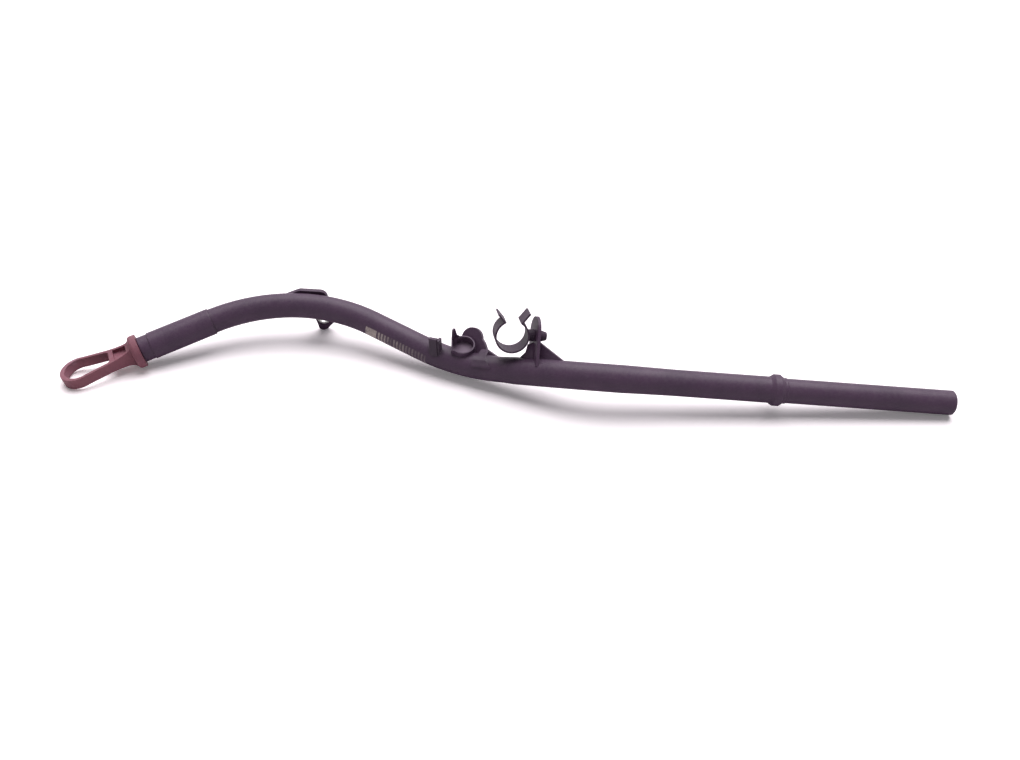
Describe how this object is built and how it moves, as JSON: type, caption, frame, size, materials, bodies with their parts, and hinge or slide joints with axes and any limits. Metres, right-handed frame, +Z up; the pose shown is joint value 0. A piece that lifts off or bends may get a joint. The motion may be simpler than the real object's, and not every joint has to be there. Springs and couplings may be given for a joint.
{
  "type": "engine oil dipstick with guide tube",
  "caption": "Engine oil dipstick seated in its moulded guide tube: looped pull handle with sealed plug, bent black tube with stop bead, mounting tab, cup bracket and snap-in harness clip.",
  "frame": {"origin": "middle of the part's box, on the floor it lies on", "axes": "+X from the pull handle to the spigot, the way the part lies; +Z up; -Y to the viewer of the picture"},
  "size_m": [0.4534, 0.0772, 0.0441],
  "materials": {
    "tube_plastic": "satin, lightly scuffed",
    "clip_plastic": "satin",
    "handle_plastic": "matt, faded and dusty",
    "seal_rubber": "oiled",
    "bush_steel": "plated",
    "cable_steel": "wound wire",
    "ferrule_steel": "crimped",
    "blade_steel": "bright"
  },
  "bodies": {
    "tube": {"guide_tube": "tube_plastic", "tab_bush": "bush_steel", "cable": "cable_steel", "ferrule": "ferrule_steel", "gauge_blade": "blade_steel"},
    "dipstick": {"handle": "handle_plastic", "upper_seal": "seal_rubber", "lower_seal": "seal_rubber"},
    "clip": {"harness_clip": "clip_plastic"}
  },
  "joints": [
    {"name": "dipstick_pull", "type": "slide", "parent": "tube", "child": "dipstick", "axis": [-0.8884, -0.4288, -0.1638], "range_m": [0, 0.02]},
    {"name": "clip_swivel", "type": "hinge", "parent": "tube", "child": "clip", "pos_m": [0.01887, -0.0062, 0.02819], "axis": [0.9682, 0.1433, -0.2049], "range_deg": [-60, 60]}
  ]
}
